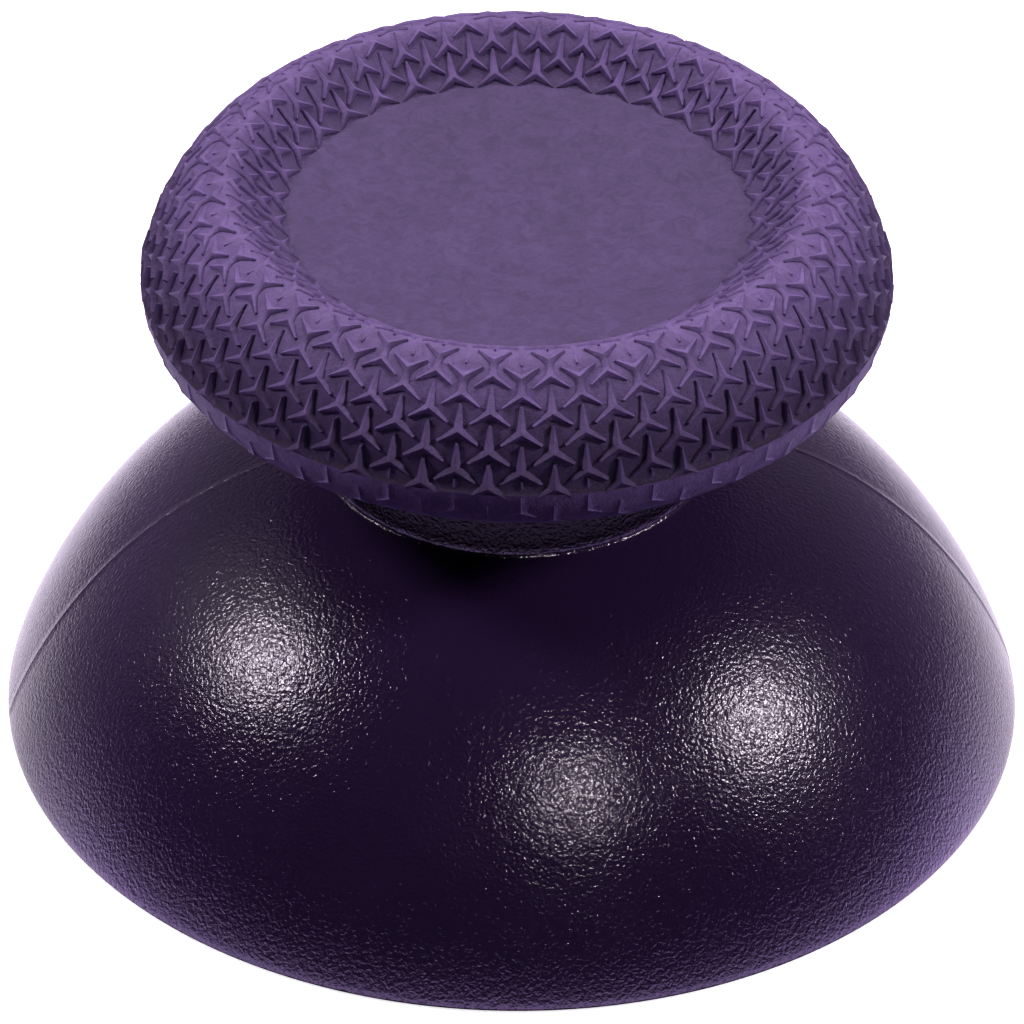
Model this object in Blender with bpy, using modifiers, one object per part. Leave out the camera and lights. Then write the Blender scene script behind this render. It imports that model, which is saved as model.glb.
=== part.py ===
"""Thumbstick cap: a hard moulded dome with a neck and a head, and a soft grip moulded over the head.

The origin is the centre of the dome's rim, +Z runs up through the grip, and the plane y = 0 is the one
in which the dome's mould halves meet. Run it in Blender 4.5: blender --background --python part.py
"""

import math

import bmesh
import bpy
from mathutils import Matrix, Vector
from mathutils.geometry import delaunay_2d_cdt, interpolate_bezier

MM = 0.001

# Dome, in millimetres: a shell that closes the hole in the controller's face
DOME_RADIUS = 12.5
DOME_HEIGHT = 7.76
DOME_WALL = 1.1
RIM_LEAN = math.radians(4.0)
RIM_PULL = 0.5
SHOULDER_SLOPE = math.radians(12.6)
SHOULDER_PULL = 5.73
DOME_POINTS = 13

# Neck and head: the neck carries a flat head, which the grip covers
NECK_RADIUS = 4.8
NECK_LENGTH = 3.94
NECK_FILLET = 0.5

# Stem and socket: the stem stands inside the dome, and the joystick's flatted shaft goes up into it
STEM_RADIUS = 3.3
STEM_SETBACK = 1.2
SHAFT_RADIUS = 2.0
SHAFT_ACROSS_FLATS = 3.1
SHAFT_CLEARANCE = 0.05
SOCKET_DEPTH = 7.8
SOCKET_SEGMENTS = 48
CUTTER_OVERRUN = 1.0

# Grip: a fat soft ring round a shallow dish
GRIP_RADIUS = 9.03
GRIP_SIDE_WALL = 1.33
LIP_DROP = 0.12
BAND_HEIGHT = 1.1
BAND_INSET = 0.46
CREST_RISE = 2.78
INNER_SLOPE_WIDTH = 1.54
DISH_RADIUS = 5.44
DISH_RIM_DROP = 1.07
DISH_DEPTH = 0.34
DISH_THICKNESS = 1.05

# Handles of the curves in the ring's section: how far each pulls its curve, and which way
EDGE_PULL_OUT = 0.33
EDGE_PULL_UP = 0.27
BAND_PULL = 0.18
SIDE_PULL_IN = 0.24
SIDE_PULL_UP = 1.7
CREST_PULL_OUT = 0.65
CREST_PULL_IN = 0.3
DISH_PULL_OUT = 0.71
DISH_PULL_UP = 0.47
BAND_POINTS = 5
OUTER_POINTS = 32
INNER_POINTS = 20

# Three-armed stars on the ring, in staggered columns that each follow the ring's section.
# The arm's side and the leg's reach are shares of the step from one column to the next.
STARS_ROUND = 36
STAR_RELIEF = 0.15
STAR_PITCH = 0.95
STAR_ARM = 0.6
STAR_ARM_SIDE = 0.2
STAR_LEG_DROP = 0.3
STAR_LEG_REACH = 0.68
STAR_WAIST = 0.13
FIRST_STAR = 0.05
TWIN_LENGTH = 0.43
OUTER_STARS = 3
INNER_STARS = 2

# The soft grip and the hard head are bonded on the real part: this keeps their meshes apart
BOND_GAP = 0.3

HARD_PLASTIC = (0.022, 0.011, 0.038)
HARD_PLASTIC_ROUGHNESS = 0.38
SOFT_GRIP = (0.078, 0.045, 0.132)
SOFT_GRIP_ROUGHNESS = 0.62

TURNED_SEGMENTS = 72
SHARP_EDGE = math.radians(30.0)
WELD = 1e-6

dish_rim_z = DOME_HEIGHT + NECK_LENGTH - LIP_DROP + BAND_HEIGHT + CREST_RISE - DISH_RIM_DROP
pocket_radius = GRIP_RADIUS - GRIP_SIDE_WALL
pocket_ceiling = dish_rim_z - DISH_DEPTH - DISH_THICKNESS
head_radius = pocket_radius - BOND_GAP
head_top = pocket_ceiling - BOND_GAP
head_underside = DOME_HEIGHT + NECK_LENGTH
column_step = math.pi / STARS_ROUND


def clear_scene():
    for obj in list(bpy.data.objects):
        bpy.data.objects.remove(obj, do_unlink=True)


def new_collection(name):
    collection = bpy.data.collections.new(name)
    bpy.context.scene.collection.children.link(collection)
    return collection


def add_object(name, mesh, collection):
    obj = bpy.data.objects.new(name, mesh)
    collection.objects.link(obj)
    return obj


def add_material(obj, colour, roughness):
    material = bpy.data.materials.new(obj.name)
    material.use_nodes = True
    shader = material.node_tree.nodes["Principled BSDF"]
    shader.inputs["Base Color"].default_value = (*colour, 1.0)
    shader.inputs["Roughness"].default_value = roughness
    shader.inputs["Metallic"].default_value = 0.0
    obj.data.materials.append(material)


def curve(start, start_handle, end_handle, end, points):
    """Points (radius, height) of a Bezier curve."""
    return [Vector(p) for p in interpolate_bezier(start, start_handle, end_handle, end, points)]


def normals(points):
    """Normals of a line of points, to the right of the way that it runs."""
    found = []
    for before, after in zip([points[0], *points[:-1]], [*points[1:], points[-1]]):
        along = (after - before).normalized()
        found.append(Vector((along.y, -along.x)))
    return found


# Dome, neck, head and stem

def dome_curve():
    """The dome's outer side from the rim up to the neck."""
    rim = Vector((DOME_RADIUS, 0.0))
    top = Vector((NECK_RADIUS, DOME_HEIGHT))
    rim_handle = rim + RIM_PULL * Vector((-math.sin(RIM_LEAN), math.cos(RIM_LEAN)))
    top_handle = top + SHOULDER_PULL * Vector((math.cos(SHOULDER_SLOPE), -math.sin(SHOULDER_SLOPE)))
    return curve(rim, rim_handle, top_handle, top, DOME_POINTS)


def dome_inside():
    """The dome's inner side from the rim up to the stem, one wall inside the outer side."""
    outer = dome_curve()
    inner = [p - DOME_WALL * n for p, n in zip(outer, normals(outer))]
    inner = [p for p in inner if p.y > 0.0 and p.x > STEM_RADIUS]
    last = inner[-1]
    ceiling_z = last.y + (last.x - STEM_RADIUS) * math.tan(SHOULDER_SLOPE)
    rim_inside = Vector((DOME_RADIUS - DOME_WALL / math.cos(RIM_LEAN), 0.0))
    return [rim_inside, *inner, Vector((STEM_RADIUS, ceiling_z))]


def neck_fillet():
    """Quarter round between the neck and the head's underside, from the head to the neck."""
    centre = Vector((NECK_RADIUS + NECK_FILLET, head_underside - NECK_FILLET))
    angles = [math.radians(90.0 + 22.5 * step) for step in range(5)]
    return [centre + NECK_FILLET * Vector((math.cos(a), math.sin(a))) for a in angles]


def base_profile():
    """The whole section of the hard piece, from the axis at the top, down outside, up inside."""
    head = [Vector((0.0, head_top)), Vector((head_radius, head_top)), Vector((head_radius, head_underside))]
    stem = [Vector((STEM_RADIUS, STEM_SETBACK)), Vector((0.0, STEM_SETBACK))]
    return [*head, *neck_fillet(), *reversed(dome_curve()), *dome_inside(), *stem]


def turned_mesh(name, profile):
    mesh = bpy.data.meshes.new(name)
    points = [(p.x * MM, 0.0, p.y * MM) for p in profile]
    mesh.from_pydata(points, [(i, i + 1) for i in range(len(points) - 1)], [])
    return mesh


def turn(obj):
    screw = obj.modifiers.new("Turn", "SCREW")
    screw.axis = "Z"
    screw.steps = TURNED_SEGMENTS
    screw.render_steps = TURNED_SEGMENTS
    screw.use_merge_vertices = True
    screw.merge_threshold = WELD


def socket_cutter(collection):
    """A round bar with two flats, standing up from below the stem to the blind end of the socket."""
    radius = (SHAFT_RADIUS + SHAFT_CLEARANCE) * MM
    flat = (SHAFT_ACROSS_FLATS / 2 + SHAFT_CLEARANCE) * MM
    bottom = (STEM_SETBACK - CUTTER_OVERRUN) * MM
    top = (STEM_SETBACK + SOCKET_DEPTH) * MM
    shape = bmesh.new()
    placed = Matrix.Translation((0.0, 0.0, (bottom + top) / 2))
    bmesh.ops.create_cone(shape, cap_ends=True, segments=SOCKET_SEGMENTS,
                          radius1=radius, radius2=radius, depth=top - bottom, matrix=placed)
    for side in (1.0, -1.0):
        cut = bmesh.ops.bisect_plane(shape, geom=[*shape.verts, *shape.edges, *shape.faces], dist=1e-7,
                                     plane_co=(0.0, side * flat, 0.0), plane_no=(0.0, side, 0.0),
                                     clear_outer=True)
        edges = [e for e in cut["geom_cut"] if isinstance(e, bmesh.types.BMEdge)]
        bmesh.ops.edgeloop_fill(shape, edges=edges)
    bmesh.ops.recalc_face_normals(shape, faces=shape.faces)
    mesh = bpy.data.meshes.new("socket_cutter")
    shape.to_mesh(mesh)
    shape.free()
    cutter = add_object("socket_cutter", mesh, collection)
    cutter.hide_render = True
    cutter.display_type = "WIRE"
    return cutter


def make_dome_base(parts, cutters):
    base = add_object("dome_base", turned_mesh("dome_base", base_profile()), parts)
    turn(base)
    socket = base.modifiers.new("Socket", "BOOLEAN")
    socket.operation = "DIFFERENCE"
    socket.solver = "EXACT"
    socket.object = socket_cutter(cutters)
    base.data.shade_smooth()
    add_material(base, HARD_PLASTIC, HARD_PLASTIC_ROUGHNESS)
    return base


# Grip

def ring_curves():
    """The ring's section over the star tops: the band under the widest line, then the two slopes."""
    edge = Vector((GRIP_RADIUS - BAND_INSET, head_underside - LIP_DROP))
    widest = Vector((GRIP_RADIUS, edge.y + BAND_HEIGHT))
    crest = Vector((DISH_RADIUS + INNER_SLOPE_WIDTH, widest.y + CREST_RISE))
    dish_rim = Vector((DISH_RADIUS, dish_rim_z))
    edge_handle = edge + Vector((EDGE_PULL_OUT, EDGE_PULL_UP))
    band_handle = widest - Vector((0.0, BAND_PULL))
    side_handle = widest + Vector((-SIDE_PULL_IN, SIDE_PULL_UP))
    dish_handle = dish_rim + Vector((DISH_PULL_OUT, DISH_PULL_UP))
    band = curve(edge, edge_handle, band_handle, widest, BAND_POINTS)
    outer = curve(widest, side_handle, crest + Vector((CREST_PULL_OUT, 0.0)), crest, OUTER_POINTS)
    inner = curve(crest, crest - Vector((CREST_PULL_IN, 0.0)), dish_handle, dish_rim, INNER_POINTS)
    return band, outer[:-1] + inner


def ring_point(slope, distance, height, angle):
    """The point at a distance along the ring's section, raised by a height along its normal."""
    left = distance
    stretches = list(zip(slope, slope[1:]))
    while len(stretches) > 1 and left > (stretches[0][1] - stretches[0][0]).length:
        start, end = stretches.pop(0)
        left -= (end - start).length
    start, end = stretches[0]
    along = (end - start).normalized()
    flat = start + left * along + height * Vector((along.y, -along.x))
    return Vector((flat.x * math.cos(angle), flat.x * math.sin(angle), flat.y)) * MM


def half_star(pattern, middle, facing, twin_at=None):
    """The half of a star that lies on one side of its column.

    The pattern's points are (across, along, height) with the column at across = 0, and facing is 1 for
    an arm that points on along the section. A twin shares its arm with a second star at twin_at.
    """
    floor = -STAR_RELIEF
    points, lines = pattern
    first = len(points)
    points.append((0.0, middle - facing * STAR_WAIST, floor))
    points.append((0.0, middle, 0.0))
    points.append((STAR_LEG_REACH, middle - facing * STAR_LEG_DROP, floor))
    if twin_at is None:
        points.append((0.0, middle + facing * STAR_ARM, floor))
        points.append((STAR_ARM_SIDE, middle + facing * STAR_WAIST / 2, floor))
        links = [(0, 1), (1, 2), (1, 3), (1, 4), (0, 2), (2, 4), (4, 3)]
    else:
        points.append((STAR_ARM_SIDE, (middle + twin_at) / 2, floor))
        points.append((0.0, twin_at, 0.0))
        points.append((STAR_LEG_REACH, twin_at + facing * STAR_LEG_DROP, floor))
        points.append((0.0, twin_at + facing * STAR_WAIST, floor))
        links = [(0, 1), (1, 2), (0, 2), (1, 3), (2, 3), (1, 4), (3, 4), (4, 5), (3, 5), (4, 6), (5, 6)]
    lines.extend((first + a, first + b) for a, b in links)


def half_column(staggered, length):
    """One side of a column: stars up the outer slope, a twin over the crest, stars down the inner.

    A staggered column starts half a pitch further up. The others start on the widest line, where the
    lowest star's legs are flush with the band and only its arm stands out.
    """
    pattern = ([], [])
    if staggered:
        first = FIRST_STAR + STAR_PITCH / 2
        outer_rows = OUTER_STARS - 1
        half_star(pattern, first, 1)
    else:
        first = FIRST_STAR
        outer_rows = OUTER_STARS
        pattern[0].append((0.0, first + STAR_ARM, -STAR_RELIEF))
        pattern[0].append((STAR_ARM_SIDE, first + 2 * STAR_WAIST, -STAR_RELIEF))
    for row in range(1, outer_rows):
        half_star(pattern, first + row * STAR_PITCH, 1)
    twin = first + outer_rows * STAR_PITCH
    half_star(pattern, twin, 1, twin + TWIN_LENGTH)
    for row in range(1, INNER_STARS + 1):
        middle = twin + TWIN_LENGTH + row * STAR_PITCH
        if middle + STAR_LEG_DROP < length:
            half_star(pattern, middle, -1)
    return pattern


def star_strip(slope):
    """The flat pattern between two neighbouring columns, cut into triangles and laid on the ring."""
    length = sum((b - a).length for a, b in zip(slope, slope[1:]))
    near, near_lines = half_column(False, length)
    far, far_lines = half_column(True, length)
    corners = [(0.0, 0.0, 0.0), (1.0, 0.0, 0.0), (1.0, length, 0.0), (0.0, length, 0.0)]
    points = [*near, *[(1.0 - across, along, height) for across, along, height in far], *corners]
    lines = [*near_lines, *[(a + len(near), b + len(near)) for a, b in far_lines]]
    width = column_step * (DISH_RADIUS + GRIP_RADIUS) / 2
    flat = [Vector((across * width, along)) for across, along, height in points]
    laid, _, faces, sources, _, _ = delaunay_2d_cdt(flat, lines, [], 0, 1e-6)
    raised = []
    for place, source in zip(laid, sources):
        height = points[source[0]][2] if source else -STAR_RELIEF
        raised.append(ring_point(slope, place.y, height, column_step * place.x / width))
    return raised, faces


def turned_strip(shape, profile):
    """Faces between two neighbouring columns along a plain stretch of the section."""
    verts = [shape.verts.new((p.x * MM, 0.0, p.y * MM)) for p in profile]
    edges = [shape.edges.new(pair) for pair in zip(verts, verts[1:])]
    bmesh.ops.spin(shape, geom=[*verts, *edges], cent=(0.0, 0.0, 0.0), axis=(0.0, 0.0, 1.0),
                   dvec=(0.0, 0.0, 0.0), angle=column_step, steps=1)


def dish_profile():
    """The dish from its rim to the axis, a shallow bowl."""
    shares = [1.0, 0.8, 0.55, 0.3, 0.0]
    return [Vector((DISH_RADIUS * s, dish_rim_z - DISH_DEPTH * (1.0 - s * s))) for s in shares]


def pocket_profile(edge):
    """From the ring's lower edge under the lip and into the pocket that holds the head."""
    return [edge, Vector((pocket_radius, edge.y)), Vector((pocket_radius, pocket_ceiling)),
            Vector((0.0, pocket_ceiling))]


def make_grip_cap(parts):
    band, slope = ring_curves()
    shape = bmesh.new()
    raised, faces = star_strip(slope)
    verts = [shape.verts.new(p) for p in raised]
    for face in faces:
        shape.faces.new([verts[i] for i in face])
    turned_strip(shape, dish_profile())
    turned_strip(shape, [*reversed(band), *pocket_profile(band[0])[1:]])
    bmesh.ops.mirror(shape, geom=[*shape.verts, *shape.edges, *shape.faces], matrix=Matrix.Identity(4),
                     merge_dist=-1.0, axis="Y")
    sector = [*shape.verts, *shape.edges, *shape.faces]
    bmesh.ops.spin(shape, geom=sector, cent=(0.0, 0.0, 0.0), axis=(0.0, 0.0, 1.0), dvec=(0.0, 0.0, 0.0),
                   angle=2 * math.pi, steps=STARS_ROUND, use_duplicate=True)
    bmesh.ops.remove_doubles(shape, verts=shape.verts, dist=WELD)
    bmesh.ops.dissolve_degenerate(shape, edges=shape.edges, dist=WELD)
    bmesh.ops.recalc_face_normals(shape, faces=shape.faces)
    mesh = bpy.data.meshes.new("grip_cap")
    shape.to_mesh(mesh)
    shape.free()
    grip = add_object("grip_cap", mesh, parts)
    grip.data.shade_smooth()
    grip.data.set_sharp_from_angle(angle=SHARP_EDGE)
    add_material(grip, SOFT_GRIP, SOFT_GRIP_ROUGHNESS)
    return grip


clear_scene()
thumbstick_parts = new_collection("thumbstick_cap")
thumbstick_cutters = new_collection("cutters")
make_dome_base(thumbstick_parts, thumbstick_cutters)
make_grip_cap(thumbstick_parts)
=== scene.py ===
import math

import bpy
from mathutils import Matrix, Vector
from mathutils.bvhtree import BVHTree
from mathutils.geometry import interpolate_bezier


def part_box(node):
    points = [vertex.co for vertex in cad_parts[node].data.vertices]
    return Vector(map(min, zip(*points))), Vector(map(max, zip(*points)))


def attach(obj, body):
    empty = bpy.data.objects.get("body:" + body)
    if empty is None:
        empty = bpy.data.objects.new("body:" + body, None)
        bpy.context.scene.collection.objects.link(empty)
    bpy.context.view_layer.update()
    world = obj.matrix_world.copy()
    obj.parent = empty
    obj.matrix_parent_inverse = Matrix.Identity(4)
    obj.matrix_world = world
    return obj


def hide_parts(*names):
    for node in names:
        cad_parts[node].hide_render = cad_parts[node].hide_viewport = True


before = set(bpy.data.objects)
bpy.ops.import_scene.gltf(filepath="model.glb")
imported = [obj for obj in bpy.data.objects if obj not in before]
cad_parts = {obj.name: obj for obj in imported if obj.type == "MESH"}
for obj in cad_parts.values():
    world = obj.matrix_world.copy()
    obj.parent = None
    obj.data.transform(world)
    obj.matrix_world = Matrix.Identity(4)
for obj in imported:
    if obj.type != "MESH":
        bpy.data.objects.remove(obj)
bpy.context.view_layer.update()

# Hard base: a thin domed shell with a short neck and a flat head on top, and a stem with a flatted
# socket inside. It is one moulding of dark satin plastic with a leathery grain. The two halves of the
# mould meet in the plane y = 0, where they leave a fine raised line.

MM = 0.001
MERGE = 0.001
SLIVER = 0.0008
CUT = 0.0001
ON_PLANE = 0.0005

DOME_HEIGHT = 7.76
DOME_WALL = 1.1
RIM_LEAN = math.radians(4.0)
RIM_PULL = 0.5
RIM_ROUND = 0.08
SHOULDER_SLOPE = math.radians(12.6)
SHOULDER_PULL = 5.73
DOME_STEPS = 64
NECK_RADIUS = 4.8
NECK_FOOT_ROUND = 0.16
NECK_HEAD_ROUND = 0.5
HEAD_RADIUS = 7.4
HEAD_UNDERSIDE = 11.7
HEAD_TOP_ROUND = 0.2
HEAD_EDGE_ROUND = 0.1
STEM_RADIUS = 3.3
STEM_SETBACK = 1.2
STEM_CHAMFER = 0.25
STEM_ROOT_ROUND = 0.3
SOCKET_RADIUS = 2.05
SOCKET_HALF_FLATS = 1.6
SOCKET_DEPTH = 7.8
SOCKET_OVERRUN = 1.0
SOCKET_SEGMENTS = 96
BASE_SEGMENTS = 256
PARTING_HALF_WIDTH = 0.022
PARTING_HEIGHT = 0.009
PARTING_CLEARANCE = 0.3
UNDERSIDE_NORMAL = -0.02
BASE_SMOOTH_ANGLE = math.radians(32.0)
PLASTIC_COLOUR = (0.029, 0.014, 0.054)
PLASTIC_SPECULAR = 0.5
# Painted shade on the neck under the grip's overhang: the share of colour and specular it keeps, and the
# heights over the dome where it begins and where it is full.
NECK_PAINTED_SHADE = 0.15
NECK_SHADE_START = 0.1
NECK_SHADE_END = 0.25

base_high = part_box("dome_base")[1]
dome_radius = base_high.x / MM
head_top = base_high.z / MM


def curve_points(start, start_handle, end_handle, end, count):
    """Points (radius, height) of a Bezier curve."""
    return [Vector(p) for p in interpolate_bezier(start, start_handle, end_handle, end, count)]


def section_normals(points):
    """Normals of a line of points, to the right of the way that it runs."""
    found = []
    for before, after in zip([points[0], *points[:-1]], [*points[1:], points[-1]]):
        along = (after - before).normalized()
        found.append(Vector((along.y, -along.x)))
    return found


def rounded(before, corner, after, radius, steps):
    """The arc of a radius that rounds the corner between two straight neighbours."""
    toward_before = (before - corner).normalized()
    toward_after = (after - corner).normalized()
    half = toward_before.angle(toward_after) / 2
    middle = corner + (toward_before + toward_after).normalized() * radius / math.sin(half)
    start = corner + toward_before * radius / math.tan(half) - middle
    end = corner + toward_after * radius / math.tan(half) - middle
    turned = start.angle_signed(end)
    return [middle + Matrix.Rotation(-turned * step / steps, 2) @ start for step in range(steps + 1)]


def deselect_all():
    """Leaves edit mode and deselects every object."""
    if bpy.context.object and bpy.context.object.mode == "EDIT":
        bpy.ops.object.mode_set(mode="OBJECT")
    bpy.ops.object.select_all(action="DESELECT")


def select_only(body):
    """Makes a body the one selected object and the active one."""
    deselect_all()
    body.select_set(True)
    bpy.context.view_layer.objects.active = body


def draw_section(name, points):
    """A line in the plane y = 0, drawn by extruding one point on to the next. It stays in edit mode."""
    deselect_all()
    bpy.ops.mesh.primitive_circle_add(vertices=3, radius=MM, location=(0.0, 0.0, 0.0))
    line = bpy.context.object
    line.name = line.data.name = name
    bpy.ops.object.mode_set(mode="EDIT")
    bpy.ops.mesh.merge(type="CENTER")
    bpy.ops.transform.translate(value=(points[0].x * MM, 0.0, points[0].y * MM))
    for before, after in zip(points, points[1:]):
        step = (after - before) * MM
        bpy.ops.mesh.extrude_region_move(TRANSFORM_OT_translate={"value": (step.x, 0.0, step.y)})
    return line


def spin_section(segments):
    """Spins the section that is being edited into a closed turned body, and leaves edit mode."""
    bpy.ops.mesh.select_all(action="SELECT")
    bpy.ops.mesh.spin(steps=segments, angle=2 * math.pi, center=(0.0, 0.0, 0.0), axis=(0.0, 0.0, 1.0))
    bpy.ops.mesh.select_all(action="SELECT")
    bpy.ops.mesh.remove_doubles(threshold=MERGE * MM)
    bpy.ops.mesh.normals_make_consistent(inside=False)
    bpy.ops.object.mode_set(mode="OBJECT")


def boolean(body, tool, operation):
    """Cuts or joins a body with a tool, which is then gone."""
    modifier = body.modifiers.new(operation, "BOOLEAN")
    modifier.operation = operation
    modifier.solver = "MANIFOLD"
    modifier.object = tool
    select_only(body)
    bpy.ops.object.modifier_apply(modifier=modifier.name)
    bpy.data.objects.remove(tool, do_unlink=True)


def finish_mesh(body, angle):
    """Merges the slivers that cuts and joins leave, and shades the body smooth up to an angle."""
    select_only(body)
    bpy.ops.object.mode_set(mode="EDIT")
    bpy.ops.mesh.select_all(action="SELECT")
    bpy.ops.mesh.remove_doubles(threshold=SLIVER * MM)
    bpy.ops.mesh.select_all(action="SELECT")
    bpy.ops.mesh.dissolve_degenerate(threshold=SLIVER * MM)
    bpy.ops.object.mode_set(mode="OBJECT")
    bpy.ops.object.shade_smooth_by_angle(angle=angle)


dome_rim = Vector((dome_radius, 0.0))
dome_top = Vector((NECK_RADIUS, DOME_HEIGHT))
dome_outside = curve_points(
    dome_rim,
    dome_rim + RIM_PULL * Vector((-math.sin(RIM_LEAN), math.cos(RIM_LEAN))),
    dome_top + SHOULDER_PULL * Vector((math.cos(SHOULDER_SLOPE), -math.sin(SHOULDER_SLOPE))),
    dome_top,
    DOME_STEPS,
)
dome_inside = [p - DOME_WALL * n for p, n in zip(dome_outside, section_normals(dome_outside))]
dome_inside = [p for p in dome_inside if p.y > 2 * RIM_ROUND and p.x > STEM_RADIUS + STEM_ROOT_ROUND]
stem_root_z = dome_inside[-1].y + (dome_inside[-1].x - STEM_RADIUS) * math.tan(SHOULDER_SLOPE)
stem_root = Vector((STEM_RADIUS, stem_root_z))
rim_inner = Vector((dome_radius - DOME_WALL, 0.0))
stem_end = Vector((STEM_RADIUS, STEM_SETBACK))
neck_head = Vector((NECK_RADIUS, HEAD_UNDERSIDE))
head_low = Vector((HEAD_RADIUS, HEAD_UNDERSIDE))
head_high = Vector((HEAD_RADIUS, head_top))
head_axis = Vector((0.0, head_top))
stem_axis = Vector((0.0, STEM_SETBACK))

outside_from_neck = [
    p for p in reversed(dome_outside) if p.x > NECK_RADIUS + 2 * NECK_FOOT_ROUND and p.y > 2 * RIM_ROUND
]
base_section = [
    head_axis,
    *rounded(head_axis, head_high, head_low, HEAD_TOP_ROUND, 3),
    *rounded(head_high, head_low, neck_head, HEAD_EDGE_ROUND, 2),
    *rounded(head_low, neck_head, dome_top, NECK_HEAD_ROUND, 6),
    *rounded(neck_head, dome_top, outside_from_neck[0], NECK_FOOT_ROUND, 5),
    *outside_from_neck,
    *rounded(outside_from_neck[-1], dome_rim, rim_inner, RIM_ROUND, 5),
    *rounded(dome_rim, rim_inner, dome_inside[0], RIM_ROUND, 3),
    *dome_inside,
    *rounded(dome_inside[-1], stem_root, stem_end, STEM_ROOT_ROUND, 3),
    *rounded(stem_root, stem_end, stem_axis, STEM_CHAMFER, 1),
    stem_axis,
]
hard_base = draw_section("hard_base", base_section)
spin_section(BASE_SEGMENTS)

deselect_all()
socket_length = SOCKET_DEPTH + SOCKET_OVERRUN
socket_middle = STEM_SETBACK - SOCKET_OVERRUN + socket_length / 2
bpy.ops.mesh.primitive_cylinder_add(
    vertices=SOCKET_SEGMENTS,
    radius=SOCKET_RADIUS * MM,
    depth=socket_length * MM,
    location=(0.0, 0.0, socket_middle * MM),
)
socket = bpy.context.object
bpy.ops.object.transform_apply(location=True)
bpy.ops.object.mode_set(mode="EDIT")
for side in (1.0, -1.0):
    bpy.ops.mesh.select_all(action="SELECT")
    bpy.ops.mesh.bisect(
        plane_co=(0.0, side * SOCKET_HALF_FLATS * MM, 0.0),
        plane_no=(0.0, side, 0.0),
        use_fill=True,
        clear_outer=True,
        threshold=CUT * MM,
    )
bpy.ops.object.mode_set(mode="OBJECT")
boolean(hard_base, socket, "DIFFERENCE")

select_only(hard_base)
bpy.ops.object.mode_set(mode="EDIT")
for offset in (-PARTING_HALF_WIDTH, PARTING_HALF_WIDTH):
    bpy.ops.mesh.select_all(action="SELECT")
    bpy.ops.mesh.bisect(plane_co=(0.0, offset * MM, 0.0), plane_no=(0.0, 1.0, 0.0), threshold=CUT * MM)
bpy.ops.mesh.select_all(action="DESELECT")
bpy.ops.object.mode_set(mode="OBJECT")
for vertex in hard_base.data.vertices:
    on_plane = abs(vertex.co.y) < ON_PLANE * MM
    away_from_neck = math.hypot(vertex.co.x, vertex.co.y) > (NECK_RADIUS + PARTING_CLEARANCE) * MM
    outside = vertex.normal.z > UNDERSIDE_NORMAL and away_from_neck
    on_dome = 2 * RIM_ROUND * MM < vertex.co.z < DOME_HEIGHT * MM
    vertex.select = on_plane and outside and on_dome
bpy.ops.object.mode_set(mode="EDIT")
bpy.ops.transform.shrink_fatten(value=PARTING_HEIGHT * MM)
bpy.ops.object.mode_set(mode="OBJECT")
finish_mesh(hard_base, BASE_SMOOTH_ANGLE)

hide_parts("dome_base")
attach(hard_base, "root")


def new_group(name, inputs, outputs):
    """An empty shader group with float inputs and named outputs."""
    group = bpy.data.node_groups.new(name, "ShaderNodeTree")
    for label, value in inputs.items():
        group.interface.new_socket(label, in_out="INPUT", socket_type="NodeSocketFloat").default_value = value
    for label in outputs:
        group.interface.new_socket(label, in_out="OUTPUT", socket_type="NodeSocketFloat")
    group.nodes.new("NodeGroupInput")
    group.nodes.new("NodeGroupOutput")
    return group


def build_moulded_skin():
    """Pebbled skin of a grained mould: a height that the cell size and the share of fine grain set."""
    group = new_group("moulded_skin", {"Cells per metre": 7000.0, "Fine share": 0.3}, ["Height", "Tone"])
    nodes, links = group.nodes, group.links
    given = nodes["Group Input"]
    put = nodes["Group Output"]
    place = nodes.new("ShaderNodeTexCoord")
    cells = nodes.new("ShaderNodeTexNoise")
    cells.inputs["Detail"].default_value = 1.0
    cells.inputs["Roughness"].default_value = 0.45
    cells.inputs["Distortion"].default_value = 0.5
    links.new(place.outputs["Object"], cells.inputs["Vector"])
    links.new(given.outputs["Cells per metre"], cells.inputs["Scale"])
    finer = nodes.new("ShaderNodeMath")
    finer.operation = "MULTIPLY"
    finer.inputs[1].default_value = 2.7
    links.new(given.outputs["Cells per metre"], finer.inputs[0])
    grain = nodes.new("ShaderNodeTexNoise")
    grain.inputs["Detail"].default_value = 2.0
    links.new(place.outputs["Object"], grain.inputs["Vector"])
    links.new(finer.outputs[0], grain.inputs["Scale"])
    share = nodes.new("ShaderNodeMath")
    share.operation = "MULTIPLY_ADD"
    links.new(grain.outputs["Fac"], share.inputs[0])
    links.new(given.outputs["Fine share"], share.inputs[1])
    links.new(cells.outputs["Fac"], share.inputs[2])
    links.new(share.outputs[0], put.inputs["Height"])
    patches = nodes.new("ShaderNodeTexNoise")
    patches.inputs["Scale"].default_value = 420.0
    patches.inputs["Detail"].default_value = 8.0
    patches.inputs["Roughness"].default_value = 0.68
    links.new(place.outputs["Object"], patches.inputs["Vector"])
    links.new(patches.outputs["Fac"], put.inputs["Tone"])
    return group


moulded_skin = build_moulded_skin()


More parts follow.
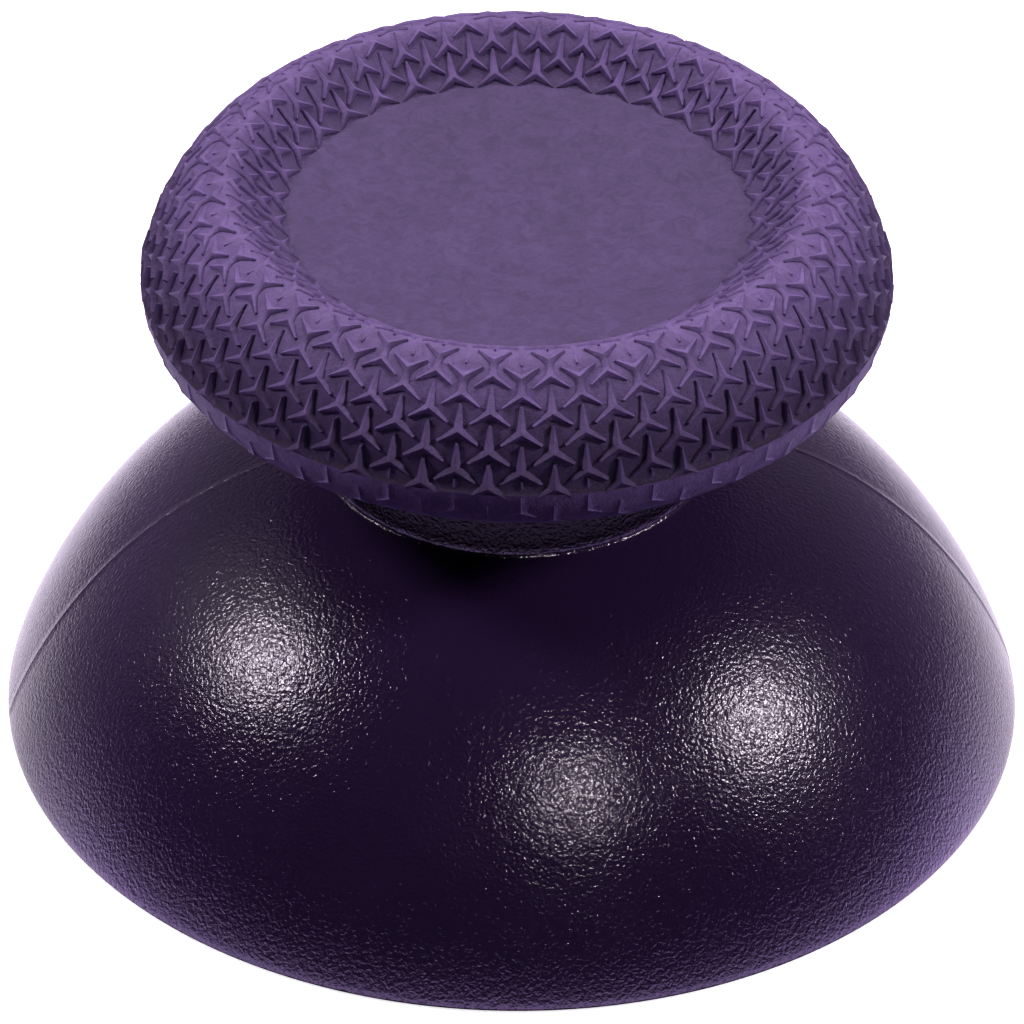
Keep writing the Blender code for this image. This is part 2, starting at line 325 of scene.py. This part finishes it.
def new_material(name, colour, skin_cells, fine_share, bump_depth, roughness_range, tone_range):
    """A Principled material whose skin gives the bump, and whose slow patches vary colour and gloss."""
    material = bpy.data.materials.new(name)
    material.use_nodes = True
    nodes, links = material.node_tree.nodes, material.node_tree.links
    shader = nodes["Principled BSDF"]
    skin = nodes.new("ShaderNodeGroup")
    skin.node_tree = moulded_skin
    skin.inputs["Cells per metre"].default_value = skin_cells
    skin.inputs["Fine share"].default_value = fine_share
    bump = nodes.new("ShaderNodeBump")
    bump.inputs["Distance"].default_value = bump_depth
    links.new(skin.outputs["Height"], bump.inputs["Height"])
    links.new(bump.outputs["Normal"], shader.inputs["Normal"])
    gloss = nodes.new("ShaderNodeMapRange")
    gloss.inputs["From Min"].default_value = 0.3
    gloss.inputs["From Max"].default_value = 0.7
    gloss.inputs["To Min"].default_value, gloss.inputs["To Max"].default_value = roughness_range
    links.new(skin.outputs["Tone"], gloss.inputs["Value"])
    links.new(gloss.outputs["Result"], shader.inputs["Roughness"])
    tone = nodes.new("ShaderNodeMix")
    tone.data_type = "RGBA"
    tone.inputs["A"].default_value = (*[c * tone_range[0] for c in colour], 1.0)
    tone.inputs["B"].default_value = (*[c * tone_range[1] for c in colour], 1.0)
    links.new(skin.outputs["Tone"], tone.inputs["Factor"])
    links.new(tone.outputs["Result"], shader.inputs["Base Color"])
    return material


plastic = new_material(
    "satin_plastic",
    PLASTIC_COLOUR,
    skin_cells=10500.0,
    fine_share=0.2,
    bump_depth=0.018 * MM,
    roughness_range=(0.12, 0.18),
    tone_range=(0.9, 1.1),
)
plastic_nodes, plastic_links = plastic.node_tree.nodes, plastic.node_tree.links
# Painted shade: the neck under the grip is painted darker, and its specular dimmed, as the shade that falls
# under the grip's overhang.
base_place = plastic_nodes.new("ShaderNodeTexCoord")
base_parts = plastic_nodes.new("ShaderNodeSeparateXYZ")
plastic_links.new(base_place.outputs["Object"], base_parts.inputs["Vector"])
neck_shade_mask = plastic_nodes.new("ShaderNodeMapRange")
neck_shade_mask.inputs["From Min"].default_value = (DOME_HEIGHT + NECK_SHADE_START) * MM
neck_shade_mask.inputs["From Max"].default_value = (DOME_HEIGHT + NECK_SHADE_END) * MM
neck_shade_mask.inputs["To Min"].default_value = 1.0
neck_shade_mask.inputs["To Max"].default_value = NECK_PAINTED_SHADE
plastic_links.new(base_parts.outputs["Z"], neck_shade_mask.inputs["Value"])
neck_shaded_colour = plastic_nodes.new("ShaderNodeVectorMath")
neck_shaded_colour.operation = "SCALE"
plastic_links.new(plastic_nodes["Mix"].outputs["Result"], neck_shaded_colour.inputs[0])
plastic_links.new(neck_shade_mask.outputs["Result"], neck_shaded_colour.inputs["Scale"])
plastic_links.new(neck_shaded_colour.outputs["Vector"], plastic_nodes["Principled BSDF"].inputs["Base Color"])
neck_shaded_specular = plastic_nodes.new("ShaderNodeMath")
neck_shaded_specular.operation = "MULTIPLY"
neck_shaded_specular.inputs[1].default_value = PLASTIC_SPECULAR
plastic_links.new(neck_shade_mask.outputs["Result"], neck_shaded_specular.inputs[0])
plastic_links.new(neck_shaded_specular.outputs[0], plastic_nodes["Principled BSDF"].inputs["Specular IOR Level"])
hard_base.data.materials.clear()
hard_base.data.materials.append(plastic)

# Soft grip: a fat ring with a shallow dish in the middle, moulded in matt rubber over the base's head.
# Three-armed stars stand on the ring in staggered columns, 36 pairs of columns round. Under the widest
# line the wall is flush with the star tops, and there the stars only show as a faint relief.

GRIP_SEGMENTS = 288
POCKET_RADIUS = 7.7
POCKET_CEILING = 13.0
POCKET_MOUTH_ROUND = 0.1
POCKET_CORNER_ROUND = 0.2
BAND_INSET = 0.46
BAND_HEIGHT = 1.1
BAND_STEPS = 12
GRIP_EDGE_Z = 11.58
OUTER_STEPS = 40
INNER_STEPS = 24
EDGE_HANDLE = Vector((0.33, 0.27))
WIDEST_HANDLE_BELOW = Vector((0.0, -0.18))
WIDEST_HANDLE_ABOVE = Vector((-0.24, 1.7))
CREST_HANDLE_OUTSIDE = Vector((0.65, 0.0))
CREST_HANDLE_INSIDE = Vector((-0.3, 0.0))
DISH_HANDLE = Vector((0.71, 0.47))
INNER_SLOPE_WIDTH = 1.54
DISH_RADIUS = 5.44
DISH_RIM_DROP = 1.07
DISH_DEPTH = 0.34
DISH_SHARES = [1.0, 0.985, 0.96, 0.9, 0.82, 0.72, 0.6, 0.46, 0.3, 0.15, 0.0]
STAR_RELIEF = 0.15
KINK_RAMP = 0.04
RIM_RAMP = 0.12
FLOOR_SPACING = 0.02
# Depth of the ground below the star tops, by arc length from the ring's lower edge.
GROUND = [
    (1.2, 0.05),
    (1.6, 0.15),
    (2.7, 0.15),
    (3.6, 0.1),
    (4.9, 0.09),
    (5.6, 0.12),
    (6.4, 0.12),
    (7.0, 0.04),
]
STARS_ROUND = 36
STAR_PITCH = 0.955
LONE_ARMS = (0.7, 0.62, 0.62)
TWIN_ARMS = (0.34, 0.62, 0.62)
FAINT_ARMS = (0.55, 0.5, 0.5)
KINK_ARMS = (0.6, 0.5, 0.5)
RIM_ARMS = (0.7, 0.68, 0.68)
STAR_WAIST = 0.178
TIP_HALF_WIDTHS = (0.078, 0.078, 0.078)
TWIN_TIP_HALF_WIDTHS = (0.12, 0.078, 0.078)
ARM_DRAFT = 0.055
ROOT_EAVES = 0.09
TIP_EAVES = 0.1
TIP_RIDGE = 0.125
TIP_FOOT = 0.01
ON_RIDGE = 1e-4
STAR_SINK = 0.12
LOW_FAINT_STAR = 0.33
HIGH_FAINT_STAR = 0.66
FAINT_STAND = 0.042
HIDDEN_STAR = 0.9
HIDDEN_STAND = -0.006
KINK_STAR = 1.39
KINK_STAND = 0.045
FIRST_STAR = 1.28
TWIN_SHIFT = -0.06
TWIN_LENGTH = 0.425
INNER_SHIFT = 0.05
RIM_SHIFT = -0.06
RIM_SPREAD = 1.33
LAST_SPREAD = 1.05
GRIP_SMOOTH_ANGLE = math.radians(58.0)
RUBBER_COLOUR = (0.165, 0.113, 0.264)
RUBBER_SPECULAR = 0.2
# Painted shade on the dish: how dark its colour is made, and the reach out from the dish's rim where it
# starts and where it is full.
DISH_PAINTED_SHADE = 0.55
DISH_SHADE_START = 0.3
DISH_SHADE_END = 0.1
# Painted light and shade of the grip's faces, as factors on its colour: under 1 is painted shade, over 1 is
# painted light.
LOW_GROUND_PAINTED_SHADE = 0.3
CREST_GROUND_PAINTED_LIGHT = 1.04
INNER_GROUND_PAINTED_SHADE = 0.6
LOW_STAR_PAINTED_SHADE = 0.66
CREST_STAR_PAINTED_LIGHT = 1.1
BAND_GROUND_PAINTED_LIGHT = 1.2
BAND_STAR_PAINTED_LIGHT = 1.5
GROUND_REACH = 0.002
DISH_MARGIN = 0.2
PAINTED_LIGHT_FOOT = 13.2
PAINTED_LIGHT_RISE = 1.5
PAINTED_SHADE_INSIDE = 0.8

grip_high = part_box("grip_cap")[1]
grip_radius = grip_high.x / MM

edge = Vector((grip_radius - BAND_INSET, GRIP_EDGE_Z))
widest = Vector((grip_radius, edge.y + BAND_HEIGHT))
crest = Vector((DISH_RADIUS + INNER_SLOPE_WIDTH, grip_high.z / MM))
dish_rim = Vector((DISH_RADIUS, crest.y - DISH_RIM_DROP))
band = curve_points(edge, edge + EDGE_HANDLE, widest + WIDEST_HANDLE_BELOW, widest, BAND_STEPS)
outer_slope = curve_points(
    widest, widest + WIDEST_HANDLE_ABOVE, crest + CREST_HANDLE_OUTSIDE, crest, OUTER_STEPS
)
inner_slope = curve_points(
    crest, crest + CREST_HANDLE_INSIDE, dish_rim + DISH_HANDLE, dish_rim, INNER_STEPS
)
star_tops = [*band, *outer_slope[1:], *inner_slope[1:]]


def arc_lengths(points):
    """The length of a line of points up to each of them."""
    lengths = [0.0]
    for start, end in zip(points, points[1:]):
        lengths.append(lengths[-1] + (end - start).length)
    return lengths


tops_arcs = arc_lengths(star_tops)
tops_normals = section_normals(star_tops)
kink_arc = arc_lengths(band)[-1]
rim_arc = tops_arcs[-1]


def on_section(arc, height):
    """The point of the ring's section at an arc length over the star tops, raised along its normal."""
    upper = next((i for i, a in enumerate(tops_arcs) if a >= arc and i > 0), len(tops_arcs) - 1)
    lower = upper - 1
    share = (arc - tops_arcs[lower]) / (tops_arcs[upper] - tops_arcs[lower])
    place = star_tops[lower].lerp(star_tops[upper], share)
    normal = tops_normals[lower].lerp(tops_normals[upper], min(max(share, 0.0), 1.0)).normalized()
    return place + height * normal


floor_start = kink_arc + KINK_RAMP
floor_end = rim_arc - RIM_RAMP
between_ends = [a for a in tops_arcs if floor_start + FLOOR_SPACING < a < floor_end - FLOOR_SPACING]
floor_arcs = [floor_start, *between_ends, floor_end]


def ground_depth(arc):
    """How deep the ground lies under the star tops at an arc length."""
    for (start, depth), (end, next_depth) in zip(GROUND, GROUND[1:]):
        if arc <= end:
            return depth + (next_depth - depth) * (arc - start) / (end - start)
    return GROUND[-1][1]


ring_floor = [on_section(a, -ground_depth(a)) for a in floor_arcs]
dish = [Vector((DISH_RADIUS * s, dish_rim.y - DISH_DEPTH * (1.0 - s * s))) for s in DISH_SHARES]
pocket_mouth = Vector((POCKET_RADIUS, edge.y))
pocket_corner = Vector((POCKET_RADIUS, POCKET_CEILING))
pocket_axis = Vector((0.0, POCKET_CEILING))
grip_section = [
    *reversed(dish),
    *reversed(ring_floor),
    *reversed(band),
    *rounded(edge, pocket_mouth, pocket_corner, POCKET_MOUTH_ROUND, 2),
    *rounded(pocket_mouth, pocket_corner, pocket_axis, POCKET_CORNER_ROUND, 2),
    pocket_axis,
]
soft_grip = draw_section("soft_grip", grip_section)
spin_section(GRIP_SEGMENTS)
ground_tree = BVHTree.FromObject(soft_grip, bpy.context.evaluated_depsgraph_get())


def arm_points(length, tip_half):
    """The six top points of an arm that runs along +Y: its root and its tip, left, ridge and right."""
    root = STAR_WAIST - ARM_DRAFT
    root_x = root * math.cos(math.radians(30.0))
    root_y = root * math.sin(math.radians(30.0))
    tip_x = tip_half - ARM_DRAFT
    tip_y = length - ARM_DRAFT
    return [
        (-root_x, root_y, ROOT_EAVES),
        (0.0, 0.0, STAR_RELIEF),
        (root_x, root_y, ROOT_EAVES),
        (-tip_x, tip_y, TIP_EAVES),
        (0.0, tip_y, TIP_RIDGE),
        (tip_x, tip_y, TIP_EAVES),
    ]


def make_star(name, arm_lengths, tip_halves):
    """One star at the origin, its floor at z = 0 and its first arm along +Y.

    Each arm is a grid of two cells, whose middle line is the ridge. Its rim is extruded down and out to
    make the sloping sides, and the arm is turned to its place.
    """
    arms = []
    for turn_index, (length, tip_half) in enumerate(zip(arm_lengths, tip_halves)):
        deselect_all()
        bpy.ops.mesh.primitive_grid_add(
            x_subdivisions=2, y_subdivisions=1, size=1.0, location=(0.0, 0.0, 0.0)
        )
        arm = bpy.context.object
        arm.name = arm.data.name = name
        for vertex, place in zip(arm.data.vertices, arm_points(length, tip_half)):
            vertex.co = Vector(place) * MM
        bpy.ops.object.mode_set(mode="EDIT")
        bpy.ops.mesh.select_all(action="DESELECT")
        bpy.ops.object.mode_set(mode="OBJECT")
        for mesh_edge in arm.data.edges:
            start, end = (arm.data.vertices[i].co / MM for i in mesh_edge.vertices)
            on_ridge = abs(start.x) < ON_RIDGE and abs(end.x) < ON_RIDGE
            at_root = start.y < STAR_WAIST and end.y < STAR_WAIST
            mesh_edge.select = not on_ridge and not at_root
        bpy.ops.object.mode_set(mode="EDIT")
        bpy.ops.mesh.select_mode(type="EDGE")
        bpy.ops.mesh.extrude_edges_move()
        bpy.ops.mesh.select_mode(type="VERT")
        bpy.ops.object.mode_set(mode="OBJECT")
        for vertex in arm.data.vertices:
            if not vertex.select:
                continue
            place = vertex.co.xy / MM
            if place.y < STAR_WAIST:
                foot = place.normalized() * STAR_WAIST
            elif abs(place.x) < ON_RIDGE:
                foot = Vector((0.0, length + TIP_FOOT))
            else:
                foot = Vector((place.x + math.copysign(ARM_DRAFT, place.x), length))
            vertex.co = Vector((foot.x, foot.y, -STAR_SINK)) * MM
        bpy.ops.object.mode_set(mode="EDIT")
        bpy.ops.mesh.select_all(action="SELECT")
        bpy.ops.transform.rotate(
            value=math.radians(120.0) * turn_index,
            orient_axis="Z",
            orient_type="GLOBAL",
            center_override=(0.0, 0.0, 0.0),
        )
        bpy.ops.object.mode_set(mode="OBJECT")
        arms.append(arm)
    deselect_all()
    for arm in arms:
        arm.select_set(True)
    bpy.context.view_layer.objects.active = arms[0]
    bpy.ops.object.join()
    star = bpy.context.object
    bpy.ops.object.mode_set(mode="EDIT")
    bpy.ops.mesh.select_all(action="SELECT")
    bpy.ops.mesh.remove_doubles(threshold=MERGE * MM)
    bpy.ops.mesh.select_all(action="DESELECT")
    bpy.ops.mesh.select_non_manifold(extend=False)
    bpy.ops.mesh.edge_face_add()
    bpy.ops.mesh.select_all(action="SELECT")
    bpy.ops.mesh.normals_make_consistent(inside=False)
    bpy.ops.object.mode_set(mode="OBJECT")
    return star


def lay_star(template, arc, column, spread, stand, facing):
    """A copy of a star, bent on to the ring on its column, first arm up (1) or down (-1) the section."""
    star = template.copy()
    star.data = template.data.copy()
    bpy.context.collection.objects.link(star)
    for vertex in star.data.vertices:
        across, along, height = vertex.co / MM
        flat = on_section(arc + facing * along, height - STAR_RELIEF + stand)
        angle = column * math.pi / STARS_ROUND + facing * spread * across / grip_radius
        vertex.co = Vector((flat.x * math.cos(angle), flat.x * math.sin(angle), flat.y)) * MM
    return star


def spin_round(stars, name):
    """Joins the stars of one pair of columns and copies them round the ring."""
    deselect_all()
    for star in stars:
        star.select_set(True)
    bpy.context.view_layer.objects.active = stars[0]
    bpy.ops.object.join()
    joined = bpy.context.object
    joined.name = name
    bpy.ops.object.mode_set(mode="EDIT")
    bpy.ops.mesh.select_all(action="SELECT")
    bpy.ops.mesh.spin(
        steps=STARS_ROUND - 1,
        dupli=True,
        angle=2 * math.pi * (STARS_ROUND - 1) / STARS_ROUND,
        center=(0.0, 0.0, 0.0),
        axis=(0.0, 0.0, 1.0),
    )
    bpy.ops.mesh.select_all(action="SELECT")
    bpy.ops.mesh.normals_make_consistent(inside=False)
    bpy.ops.object.mode_set(mode="OBJECT")
    return joined


lone = make_star("lone_star", LONE_ARMS, TIP_HALF_WIDTHS)
twin = make_star("twin_star", TWIN_ARMS, TWIN_TIP_HALF_WIDTHS)
faint = make_star("faint_star", FAINT_ARMS, TIP_HALF_WIDTHS)
kink = make_star("kink_star", KINK_ARMS, TIP_HALF_WIDTHS)
rim = make_star("rim_star", RIM_ARMS, TIP_HALF_WIDTHS)

# Each star: its shape, arc length, column, spread across the column and stand above the star tops.
twin_a = FIRST_STAR + 3 * STAR_PITCH + TWIN_SHIFT
twin_b = twin_a - STAR_PITCH / 2
outward_rows = [
    (faint, LOW_FAINT_STAR, 0, 1.0, FAINT_STAND),
    (faint, HIGH_FAINT_STAR, 1, 1.0, FAINT_STAND),
    (lone, HIDDEN_STAR, 1, 1.0, HIDDEN_STAND),
    (kink, KINK_STAR, 0, 1.0, KINK_STAND),
    (lone, FIRST_STAR + STAR_PITCH / 2, 1, 1.0, 0.0),
    (lone, FIRST_STAR + STAR_PITCH, 0, 1.0, 0.0),
    (lone, FIRST_STAR + STAR_PITCH * 3 / 2, 1, 1.0, 0.0),
    (lone, FIRST_STAR + STAR_PITCH * 2, 0, 1.0, 0.0),
    (twin, twin_a, 0, 1.0, 0.0),
    (twin, twin_b, 1, 1.0, 0.0),
]
inner_a = twin_a + TWIN_LENGTH
inner_b = twin_b + TWIN_LENGTH
inward_rows = [
    (twin, inner_a, 0, 1.0, 0.0),
    (twin, inner_b, 1, 1.0, 0.0),
    (lone, inner_a + STAR_PITCH + INNER_SHIFT, 0, 1.0, 0.0),
    (lone, inner_b + STAR_PITCH + INNER_SHIFT, 1, 1.0, 0.0),
    (rim, inner_a + STAR_PITCH * 2 + RIM_SHIFT, 0, RIM_SPREAD, 0.0),
    (lone, inner_b + STAR_PITCH * 2, 1, LAST_SPREAD, 0.0),
]
outward_stars = [lay_star(*row, facing=1) for row in outward_rows]
inward_stars = [lay_star(*row, facing=-1) for row in inward_rows]
for template in (lone, twin, faint, kink, rim):
    bpy.data.objects.remove(template, do_unlink=True)
boolean(soft_grip, spin_round(outward_stars, "outward_stars"), "UNION")
boolean(soft_grip, spin_round(inward_stars, "inward_stars"), "UNION")
finish_mesh(soft_grip, GRIP_SMOOTH_ANGLE)

# Painted light and shade in the tone of each face: the ground between the stars is painted darker as
# shade in the recesses, most of all low on the ring's outside, and darker again towards the dish on the
# inside; the stars are painted lighter up towards the crest, as light falls from above, and the band under
# the widest line is painted lighter, as light falling on it from the front.
painted_light_and_shade = []
for polygon in soft_grip.data.polygons:
    radius = math.hypot(polygon.center.x, polygon.center.y) / MM
    height = polygon.center.z / MM
    on_ground = ground_tree.find_nearest(polygon.center)[3] < GROUND_REACH * MM
    upward = min(max((height - PAINTED_LIGHT_FOOT) / PAINTED_LIGHT_RISE, 0.0), 1.0)
    inward = min(max((crest.x - radius) / PAINTED_SHADE_INSIDE, 0.0), 1.0)
    if height < widest.y:
        painted_light_and_shade.append(BAND_GROUND_PAINTED_LIGHT if on_ground else BAND_STAR_PAINTED_LIGHT)
    elif on_ground and radius < DISH_RADIUS + DISH_MARGIN:
        painted_light_and_shade.append(1.0)
    elif radius < crest.x and on_ground:
        painted_light_and_shade.append(CREST_GROUND_PAINTED_LIGHT + (INNER_GROUND_PAINTED_SHADE - CREST_GROUND_PAINTED_LIGHT) * inward)
    elif on_ground:
        painted_light_and_shade.append(LOW_GROUND_PAINTED_SHADE + (CREST_GROUND_PAINTED_LIGHT - LOW_GROUND_PAINTED_SHADE) * upward)
    else:
        painted_light_and_shade.append(LOW_STAR_PAINTED_SHADE + (CREST_STAR_PAINTED_LIGHT - LOW_STAR_PAINTED_SHADE) * upward)
soft_grip.data.attributes.new("tone", "FLOAT", "FACE").data.foreach_set("value", painted_light_and_shade)

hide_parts("grip_cap")
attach(soft_grip, "root")

rubber = new_material(
    "matt_rubber",
    RUBBER_COLOUR,
    skin_cells=11000.0,
    fine_share=0.9,
    bump_depth=0.016 * MM,
    roughness_range=(0.5, 0.6),
    tone_range=(0.7, 1.3),
)
rubber_nodes, rubber_links = rubber.node_tree.nodes, rubber.node_tree.links
place = rubber_nodes.new("ShaderNodeTexCoord")
flat_place = rubber_nodes.new("ShaderNodeVectorMath")
flat_place.operation = "MULTIPLY"
flat_place.inputs[1].default_value = (1.0, 1.0, 0.0)
rubber_links.new(place.outputs["Object"], flat_place.inputs[0])
from_axis = rubber_nodes.new("ShaderNodeVectorMath")
from_axis.operation = "LENGTH"
rubber_links.new(flat_place.outputs["Vector"], from_axis.inputs[0])
wrinkles = rubber_nodes.new("ShaderNodeTexNoise")
wrinkles.inputs["Scale"].default_value = 2600.0
wrinkles.inputs["Detail"].default_value = 6.0
wrinkles.inputs["Roughness"].default_value = 0.75
wrinkles.inputs["Distortion"].default_value = 1.0
rubber_links.new(place.outputs["Object"], wrinkles.inputs["Vector"])
# Painted shade: the dish is painted darker than the ring, to even out the stronger light on its upturned
# face. The same mask also brings in the dish's wrinkles.
dish_mask = rubber_nodes.new("ShaderNodeMapRange")
dish_mask.inputs["From Min"].default_value = (DISH_RADIUS + DISH_SHADE_START) * MM
dish_mask.inputs["From Max"].default_value = (DISH_RADIUS + DISH_SHADE_END) * MM
rubber_links.new(from_axis.outputs["Value"], dish_mask.inputs["Value"])
shaded = rubber_nodes.new("ShaderNodeMix")
shaded.data_type = "RGBA"
shaded.blend_type = "MULTIPLY"
shaded.inputs["B"].default_value = (DISH_PAINTED_SHADE, DISH_PAINTED_SHADE, DISH_PAINTED_SHADE, 1.0)
rubber_links.new(dish_mask.outputs["Result"], shaded.inputs["Factor"])
rubber_links.new(rubber_nodes["Mix"].outputs["Result"], shaded.inputs["A"])
# The face tone is painted light and shade, here times a random mottling.
painted_light_and_shade_node = rubber_nodes.new("ShaderNodeAttribute")
painted_light_and_shade_node.attribute_name = "tone"
mottling = rubber_nodes.new("ShaderNodeMapRange")
mottling.inputs["From Min"].default_value = 0.4
mottling.inputs["From Max"].default_value = 0.6
mottling.inputs["To Min"].default_value = 0.84
mottling.inputs["To Max"].default_value = 1.16
rubber_links.new(wrinkles.outputs["Fac"], mottling.inputs["Value"])
painted_shade_and_mottling = rubber_nodes.new("ShaderNodeMath")
painted_shade_and_mottling.operation = "MULTIPLY"
rubber_links.new(painted_light_and_shade_node.outputs["Fac"], painted_shade_and_mottling.inputs[0])
rubber_links.new(mottling.outputs["Result"], painted_shade_and_mottling.inputs[1])
toned = rubber_nodes.new("ShaderNodeVectorMath")
toned.operation = "SCALE"
rubber_links.new(shaded.outputs["Result"], toned.inputs[0])
rubber_links.new(painted_shade_and_mottling.outputs[0], toned.inputs["Scale"])
rubber_links.new(toned.outputs["Vector"], rubber_nodes["Principled BSDF"].inputs["Base Color"])
rubber_nodes["Principled BSDF"].inputs["Specular IOR Level"].default_value = RUBBER_SPECULAR
wrinkled = rubber_nodes.new("ShaderNodeMath")
wrinkled.operation = "MULTIPLY"
rubber_links.new(wrinkles.outputs["Fac"], wrinkled.inputs[0])
rubber_links.new(dish_mask.outputs["Result"], wrinkled.inputs[1])
both_heights = rubber_nodes.new("ShaderNodeMath")
both_heights.operation = "ADD"
rubber_links.new(rubber_nodes["Group"].outputs["Height"], both_heights.inputs[0])
rubber_links.new(wrinkled.outputs[0], both_heights.inputs[1])
rubber_links.new(both_heights.outputs[0], rubber_nodes["Bump"].inputs["Height"])
soft_grip.data.materials.clear()
soft_grip.data.materials.append(rubber)

# Floor: a plain sheet of white studio card, larger than the camera can see. It lies a hair under the
# dome's rim, and shines a little so that it stays white under the soft light.

FLOOR_SIZE = 1.2
FLOOR_DROP = 0.02

deselect_all()
bpy.ops.mesh.primitive_plane_add(size=FLOOR_SIZE, location=(0.0, 0.0, -FLOOR_DROP * MM))
floor = bpy.context.object
bpy.ops.object.transform_apply(location=True)
floor.name = "floor"
card = bpy.data.materials.new("white_card")
card.use_nodes = True
card_shader = card.node_tree.nodes["Principled BSDF"]
card_shader.inputs["Base Color"].default_value = (0.9, 0.9, 0.9, 1.0)
card_shader.inputs["Roughness"].default_value = 0.9
card_shader.inputs["Specular IOR Level"].default_value = 0.0
card_shader.inputs["Emission Color"].default_value = (1.0, 1.0, 1.0, 1.0)
card_shader.inputs["Emission Strength"].default_value = 0.8
floor.data.materials.append(card)
floor.visible_glossy = False
floor.visible_diffuse = False

# Light: a dark room that glows behind the cap, and below the horizon as a white studio floor does.
# Three small round lights make the bright spots on the dome, and two wide dim ones the haze round the
# outer two. Soft lights overhead and behind brighten the ring and the dish.

ROOM_COLOUR = (0.02, 0.016, 0.027)
BACK_COLOUR = (0.24, 0.205, 0.28)
FLOOR_GLOW = (1.35, 1.2, 1.45)
RIM_GLOW = (2.8, 1.9, 4.2)

world = bpy.data.worlds.new("studio")
world.use_nodes = True
world_nodes, world_links = world.node_tree.nodes, world.node_tree.links
background = world_nodes["Background"]
direction = world_nodes.new("ShaderNodeTexCoord")
parts = world_nodes.new("ShaderNodeSeparateXYZ")
world_links.new(direction.outputs["Generated"], parts.inputs["Vector"])


def world_step(axis, start, end):
    """A soft step of the world's brightness along one axis of the direction, 0 at start and 1 at end."""
    step = world_nodes.new("ShaderNodeMapRange")
    step.interpolation_type = "SMOOTHSTEP"
    step.inputs["From Min"].default_value = start
    step.inputs["From Max"].default_value = end
    world_links.new(parts.outputs[axis], step.inputs["Value"])
    return step.outputs["Result"]


def add_glow(colour_socket, share, colour):
    """Adds a colour to the world's, as strong as its share in each direction."""
    glow = world_nodes.new("ShaderNodeMix")
    glow.data_type = "RGBA"
    glow.blend_type = "ADD"
    glow.inputs["B"].default_value = (*colour, 1.0)
    world_links.new(share, glow.inputs["Factor"])
    if colour_socket is None:
        glow.inputs["A"].default_value = (*ROOM_COLOUR, 1.0)
    else:
        world_links.new(colour_socket, glow.inputs["A"])
    return glow.outputs["Result"]


def both(first, second):
    """The product of two shares."""
    product = world_nodes.new("ShaderNodeMath")
    product.operation = "MULTIPLY"
    world_links.new(first, product.inputs[0])
    world_links.new(second, product.inputs[1])
    return product.outputs[0]


behind = both(world_step("Y", 0.05, 0.8), world_step("Z", 0.95, 0.2))
below_behind = both(world_step("Y", 0.0, 0.5), world_step("Z", -0.08, -0.5))
below_horizon = both(world_step("Z", 0.02, -0.45), world_step("Z", -0.64, -0.54))
below_in_front = both(below_horizon, world_step("Y", 0.7, 0.1))
lit_behind = add_glow(None, behind, BACK_COLOUR)
lit_below_behind = add_glow(lit_behind, below_behind, FLOOR_GLOW)
lit_below = add_glow(lit_below_behind, below_in_front, RIM_GLOW)
world_links.new(lit_below, background.inputs["Color"])
world.cycles_visibility.diffuse = False
bpy.context.scene.world = world
bpy.context.scene.view_settings.view_transform = "Standard"

LIGHT_COLOUR = (1.0, 0.88, 1.02)
AIM_HEIGHT = 0.008


def add_light(name, azimuth, elevation, distance, size, power):
    """A round soft light that faces the object, placed by its direction from it, in degrees."""
    turned = math.radians(azimuth)
    raised = math.radians(elevation)
    flat = math.cos(raised)
    way = Vector((flat * math.cos(turned), flat * math.sin(turned), math.sin(raised)))
    data = bpy.data.lights.new(name, "AREA")
    data.shape = "DISK"
    data.size = size
    data.energy = power
    data.color = LIGHT_COLOUR
    light = bpy.data.objects.new(name, data)
    light.location = way * distance + Vector((0.0, 0.0, AIM_HEIGHT))
    light.rotation_euler = way.to_track_quat("Z", "Y").to_euler()
    bpy.context.scene.collection.objects.link(light)
    return light


add_light("left_spot", 174.7, 40.3, 0.3, 0.055, 0.35)
add_light("right_spot", -19.4, 34.5, 0.3, 0.045, 0.38)
middle_spot = add_light("middle_spot", -76.5, 42.3, 0.3, 0.014, 0.17)
middle_spot.visible_diffuse = False
add_light("overhead", 90.0, 64.0, 0.3, 0.15, 0.62)
back_fill = add_light("back_fill", 60.0, 20.0, 0.3, 0.3, 0.25)
back_fill.visible_glossy = False
left_halo = add_light("left_halo", 157.0, 37.0, 0.3, 0.2, 0.05)
left_halo.visible_diffuse = False
right_halo = add_light("right_halo", -14.0, 32.0, 0.3, 0.22, 0.045)
right_halo.visible_diffuse = False

# Camera: a long lens that looks down on the cap from the front, from about 0.23 m away. It is level but
# for a slight tilt, and the cap fills the frame as in the photo.

CAMERA_PLACE = Vector((-18.945, -179.769, 139.506)) * MM
CAMERA_FORWARD = Vector((0.083978, 0.798997, -0.595442))
CAMERA_UP = Vector((0.050072, 0.593414, 0.803338))
LENS = 323.4
SENSOR = 36.0

camera_data = bpy.data.cameras.new("camera")
camera_data.sensor_width = SENSOR
camera_data.sensor_height = SENSOR
camera_data.lens = LENS
camera_data.clip_start = 0.01
camera = bpy.data.objects.new("camera", camera_data)
camera_right = CAMERA_FORWARD.cross(CAMERA_UP)
camera.matrix_world = Matrix((
    (camera_right.x, CAMERA_UP.x, -CAMERA_FORWARD.x, CAMERA_PLACE.x),
    (camera_right.y, CAMERA_UP.y, -CAMERA_FORWARD.y, CAMERA_PLACE.y),
    (camera_right.z, CAMERA_UP.z, -CAMERA_FORWARD.z, CAMERA_PLACE.z),
    (0.0, 0.0, 0.0, 1.0),
))
bpy.context.scene.collection.objects.link(camera)
bpy.context.scene.camera = camera
